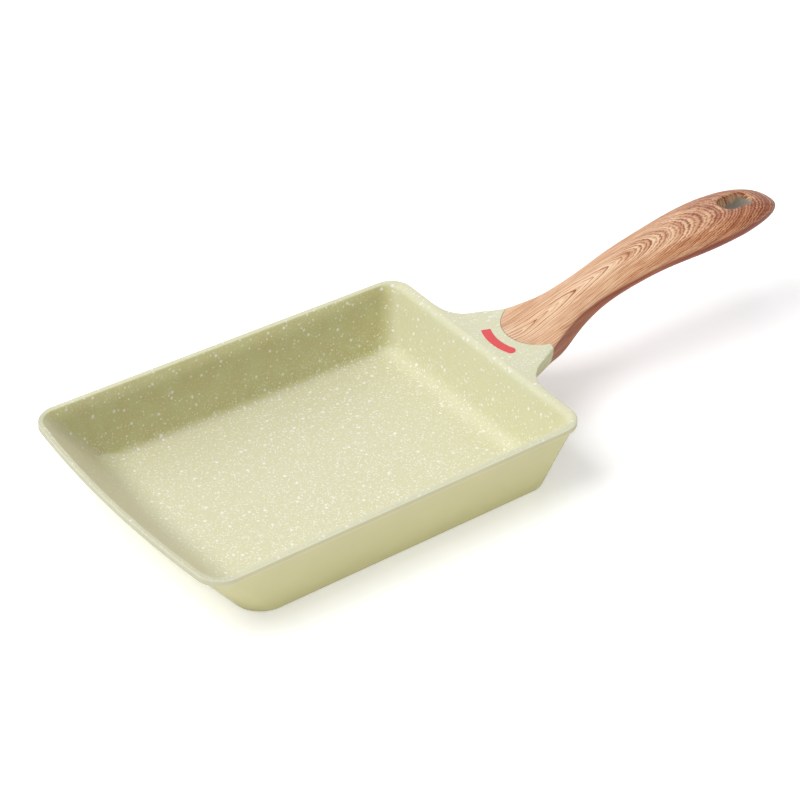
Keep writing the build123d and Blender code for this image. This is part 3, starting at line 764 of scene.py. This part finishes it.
def handleHalf(surface, side):
    # Points keep their share of the half width, f; the height is the crown's (1 - f^2.5)^(1/2.5) or the
    # belly's (1 - f^2)^(1/2). At the slot the shares open up from the middle line: f' = slot + f (1 - slot).
    h, f = handle, form
    edge, spacing = h["slotWidth"] / 2 + h["slotEdge"], h["tipSpacing"]
    left, right = slotEnds()
    share = 1 - (1 - np.linspace(0, 1, 34)) ** 3
    fraction = np.concatenate([share, share[-2::-1]])
    isTop = np.arange(len(fraction)) < len(share)
    quarter = np.linspace(0, math.pi / 2, 15)
    slotX = np.concatenate([left - edge * np.cos(quarter), np.linspace(left, right, 6)[1:-1],
                            right + edge * np.sin(quarter)])
    body = np.linspace(h["bodyX"], slotX[0], 90)[:-1]
    tipLength = f["tipX"] - f["tipStartX"]
    last = ((f["tipX"] - slotX[-1]) / tipLength) ** (1 / spacing)
    tip = f["tipX"] - tipLength * (last * np.linspace(1, 0, 26)[1:]) ** spacing
    stations = np.concatenate([body, slotX, tip])
    start = seamStart(fraction, lambda x: formSizes(x)[0], f["seamGap"])
    front = mix(start, h["bodyX"], np.linspace(0, 1, 14)[:-1, None])
    x = np.concatenate([front, stations[:, None] + 0 * fraction])
    half, height, crown, belly = formSizes(x)
    half = np.maximum(half, 1e-9)
    core = np.clip(x, left, right)
    opening = np.sqrt(np.maximum(edge**2 - (x - core) ** 2, 0))
    y = opening + (half - opening) * fraction
    size = np.clip(y / half, 0, 1)
    above = crown * (1 - size ** f["crownPower"]) ** (1 / f["crownPower"])
    below = -belly * np.sqrt(1 - size**2)
    z = pan["height"] + height + np.where(isTop, above, below)
    steps = np.hypot(np.diff(y, axis=1), np.diff(z, axis=1))
    around = opening[:, :1] + np.concatenate([0 * y[:, :1], np.cumsum(steps, axis=1)], axis=1)
    surface.add(np.stack([x, side * y, z], axis=-1), np.stack([x, side * around], axis=-1), flip=side > 0)

    # Seam's face, closed towards a line across its middle
    centre = (z[:1, :1] + z[:1, -1:]) / 2
    inward = np.linspace(1, 0, 7)[:, None]
    faceY, faceZ = y[:1] * inward, centre + (z[:1] - centre) * inward
    faceX = seamLine(faceY, f["seamGap"])
    face, faceUv = np.stack([faceX, side * faceY, faceZ], axis=-1), np.stack([faceX, side * faceY], axis=-1)
    surface.add(face, faceUv, flip=side < 0)

    # Slot's wall: a quarter arc down from the top, a straight wall, and a quarter arc out below
    first = len(front) + len(body)
    rows = slice(first, first + len(slotX))
    coreX, openY = core[rows, :1], opening[rows, :1]
    outX, outY = (x[rows, :1] - coreX) / edge, openY / edge
    turn = np.linspace(0, math.pi / 2, 6)
    reach, drop = h["slotWidth"] / 2 + h["slotEdge"] * (1 - np.sin(turn)), h["slotEdge"] * (1 - np.cos(turn))
    reach = np.concatenate([reach, reach[::-1]])
    topZ, bottomZ = z[rows, :1], z[rows, -1:]
    wallZ = np.concatenate([topZ - drop, bottomZ + drop[::-1]], axis=1)
    wall = np.stack([coreX + outX * reach, side * outY * reach, wallZ], axis=-1)
    wallUv = np.stack([wall[..., 0], side * (openY - (topZ - wallZ))], axis=-1)
    surface.add(wall, wallUv, flip=side < 0)


def cutRecess(piece):
    # Screw recess from below: the handle less a cylinder that leans as the screw does.
    h = handle
    tilt = math.radians(h["recessTilt"])
    axis = np.array([-math.sin(tilt), 0, math.cos(tilt)])
    sideways = np.array([math.cos(tilt), 0, math.sin(tilt)])
    angle = np.linspace(0, 2 * math.pi, 65)[:-1]
    ring = np.cos(angle)[:, None] * sideways + np.sin(angle)[:, None] * np.array([0, 1, 0])
    ring = h["recessRadius"] * ring
    foot = np.array([h["recessX"], 0, h["recessZ"]])
    scales = np.array([0, 1, 1, 0])
    places = -np.array([h["ledge"], h["ledge"], h["recessLength"], h["recessLength"]])
    cutter = Surface()
    cutter.add(foot + places[:, None, None] * axis + scales[:, None, None] * ring[None], closed=True)
    tool = cutter.build("recessTool", [woodLook])
    cut = piece.modifiers.new("recess", "BOOLEAN")
    cut.object, cut.operation, cut.solver = tool, "DIFFERENCE", "EXACT"
    shape = bpy.data.meshes.new_from_object(piece.evaluated_get(bpy.context.evaluated_depsgraph_get()))
    piece.modifiers.clear()
    piece.data = shape
    bpy.data.objects.remove(tool)


def markPlaces(piece):
    # How deep each point lies in the hang slot, as a share, which is where the film runs out, and how far
    # it is under the handle's widest line, in mm, which is where the print grows plain and painted shade
    # darkens the side. The slot's wall counts as over that line.
    mesh = piece.data
    place = np.empty(len(mesh.vertices) * 3, np.float32)
    mesh.vertices.foreach_get("co", place)
    x, y, z = place.reshape(-1, 3).T / mm
    inSlot = np.hypot(x - np.clip(x, *slotEnds()), y) < handle["slotWidth"] / 2 + 0.05
    _, height, crown, belly = formSizes(x)
    under = pan["height"] + height - z
    depth = (under + crown) / (crown + belly)
    for name, values in (("slotDepth", inSlot * np.clip(depth, 0, 1)), ("belowEdge", np.where(inSlot, -3, under))):
        layer = mesh.attributes.new(name, "FLOAT", "POINT")
        layer.data.foreach_set("value", values.astype(np.float32))


gripSurface = Surface()
handleHalf(gripSurface, 1)
handleHalf(gripSurface, -1)
gripPiece = gripSurface.build("handleGrip", [woodLook])
cutRecess(gripPiece)
markPlaces(gripPiece)
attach(gripPiece, "root")
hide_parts("handle")
print("handle made")


# Red bar: a strip along an arc about the seam's centre, round at the near end and square at the far one

bar = {
    "radius": 24.9, "halfWidth": 2.2, "nearAngle": 20.5, "farAngle": 25.0, "farCorner": 0.25,
    "proud": 0.12, "depth": 0.6,
}


def redBarSurface(surface):
    # A strip whose points have an angle along the arc and a distance from its middle line, laid on the
    # shoulder's top and lifted by a softened section; its near end is a half circle.
    b = bar
    lengthOf = b["radius"] * math.pi / 180
    roundEnd = b["halfWidth"] * (1 - np.cos(np.linspace(0, math.pi / 2, 10)))
    near, far = -b["nearAngle"] * lengthOf, b["farAngle"] * lengthOf
    along = np.concatenate([near - b["halfWidth"] + roundEnd, np.linspace(near, far, 40)[1:]])
    inEnd = np.maximum(near - along, 0)
    half = np.sqrt(np.maximum(b["halfWidth"] ** 2 - inEnd**2, 0))[:, None]
    half[-1] -= b["farCorner"]                    # takes the sharp corners off the square end
    edge, lift = np.array([1, 1, 0.965, 0.9, 0.45]), b["proud"] + np.array([0, -0.1, -0.03, 0, 0])
    lift[0] = -b["depth"]
    across = np.concatenate([-edge, [0], edge[::-1]])
    lift = np.concatenate([lift, [b["proud"]], lift[::-1]])
    radius = b["radius"] + half * across
    angle = along[:, None] / b["radius"] + 0 * radius
    x, y = form["seamCentreX"] - radius * np.cos(angle), radius * np.sin(angle)
    top = shoulderTop(x, np.clip(np.abs(y) / shoulderHalf(x), 0, 1))
    grid = np.stack([x, y, top + lift], axis=-1)
    surface.add(grid)
    surface.add(np.stack([grid[:, 0], grid[:, -1]], axis=1), flip=True)
    sunk = np.stack([x[-1], y[-1], top[-1] - b["depth"]], axis=-1)
    surface.add(np.stack([grid[-1], sunk]))


barSurface = Surface()
redBarSurface(barSurface)
barPiece = barSurface.build("heatInlayRed", [redBar])
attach(barPiece, "root")
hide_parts("heat_inlay")
print("red bar made")


# Nodes that keep their own solids, with a better finish

for name, finish in (("handle_screw", zincPlate), ("flat_washer", zincPlate), ("spring_washer", zincPlate),
                     ("base_plate", brushedSteel)):
    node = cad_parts[name]
    node.data.materials.clear()
    node.data.materials.append(finish)
print("fixings and base plate finished")


# Floor, light and camera

studio = {
    "floorSize": 6.0, "floorLift": 0.36, "skyDim": 0.14, "skyBright": 0.72, "aim": (0.05, 0.0, 0.02),
    # power in W, size in m and place of each light
    "softbox": (27.0, 1.3, 1.3, (-1.0, 0.25, 1.7)), "backbox": (5.0, 1.4, 1.0, (1.05, 1.46, 1.27)),
    "strip": (7.2, 1.6, 0.1, (0.1, -1.5, 0.06)),
    "place": (-0.6106, -0.9083, 0.8171), "facing": (0.47465, 0.66321, -0.57868), "lens": 142.17,
}


def whiteForCamera(add, ordinary):
    # The ordinary strength, but 1 for rays from the camera, and for those by way of gloss or glass.
    path = add("LightPath").outputs
    seen = add("Math", path["Is Camera Ray"], path["Is Glossy Ray"], operation="MAXIMUM")
    seen = add("Math", seen, path["Is Transmission Ray"], operation="MAXIMUM")
    return add("MapRange", seen, 0, 1, ordinary, 1)


world = bpy.data.worlds.new("studioSky")
bpy.context.scene.world = world
world.use_nodes = True
addSky = partial(addNode, world.node_tree)
# Brighter behind at the left than in front at the right: the share is (1 + c) / 2, with c the cosine
# of the angle between a ray's way and that side
way = addSky("TexCoord").outputs["Generated"]
toLeft = addSky("VectorMath", way, (-0.6, 0.8, 0), operation="DOT_PRODUCT").outputs["Value"]
dimmed = addSky("MapRange", toLeft, -1, 1, studio["skyDim"], studio["skyBright"])
giveInputs(world.node_tree, world.node_tree.nodes["Background"],
           {"Color": (1, 1, 1, 1), "Strength": whiteForCamera(addSky, dimmed)})

paper, addPaper = newMaterial("paperMattWhite")
tree = paper.node_tree
tree.nodes.remove(tree.nodes["Principled BSDF"])
lift = addPaper("MapRange", addPaper("LightPath").outputs["Is Camera Ray"], 0, 1, 0, studio["floorLift"])
glow = addPaper("Emission", {"Color": (1, 1, 1, 1), "Strength": lift})
both = addPaper("AddShader", addPaper("BsdfDiffuse", {"Color": colour("#F6F6F6")}), glow)
giveInputs(tree, tree.nodes["Material Output"], {"Surface": both})

half = studio["floorSize"] / 2
floorMesh = bpy.data.meshes.new("floor")
floorMesh.from_pydata([(-half, -half, 0), (half, -half, 0), (half, half, 0), (-half, half, 0)], [], [(0, 1, 2, 3)])
floorMesh.materials.append(paper)
floor = bpy.data.objects.new("floor", floorMesh)
bpy.context.scene.collection.objects.link(floor)


def placed(name, data, place, facing):
    # An object of the scene at a place, whose -Z points the way that it faces.
    item = bpy.data.objects.new(name, data)
    item.location = place
    item.rotation_euler = Vector(facing).to_track_quat("-Z", "Y").to_euler()
    bpy.context.scene.collection.objects.link(item)
    return item


def softLight(name):
    # An even rectangle of light that faces the pan.
    power, across, high, place = studio[name]
    lamp = bpy.data.lights.new(name, "AREA")
    lamp.shape, lamp.size, lamp.size_y, lamp.energy = "RECTANGLE", across, high, power
    placed(name, lamp, place, Vector(studio["aim"]) - Vector(place))


softLight("softbox")      # high at the left, a little behind
softLight("backbox")      # behind at the right, where faces that look up mirror it as a pale sheen
softLight("strip")        # low in front, for the outer wall and the handle's side

lens = bpy.data.cameras.new("photoView")
lens.lens, lens.sensor_width, lens.clip_start, lens.clip_end = studio["lens"], 36, 0.01, 20
bpy.context.scene.camera = placed("photoView", lens, studio["place"], studio["facing"])
bpy.context.scene.view_settings.view_transform = "Standard"
print("floor, light and camera placed")

bpy.context.view_layer.update()
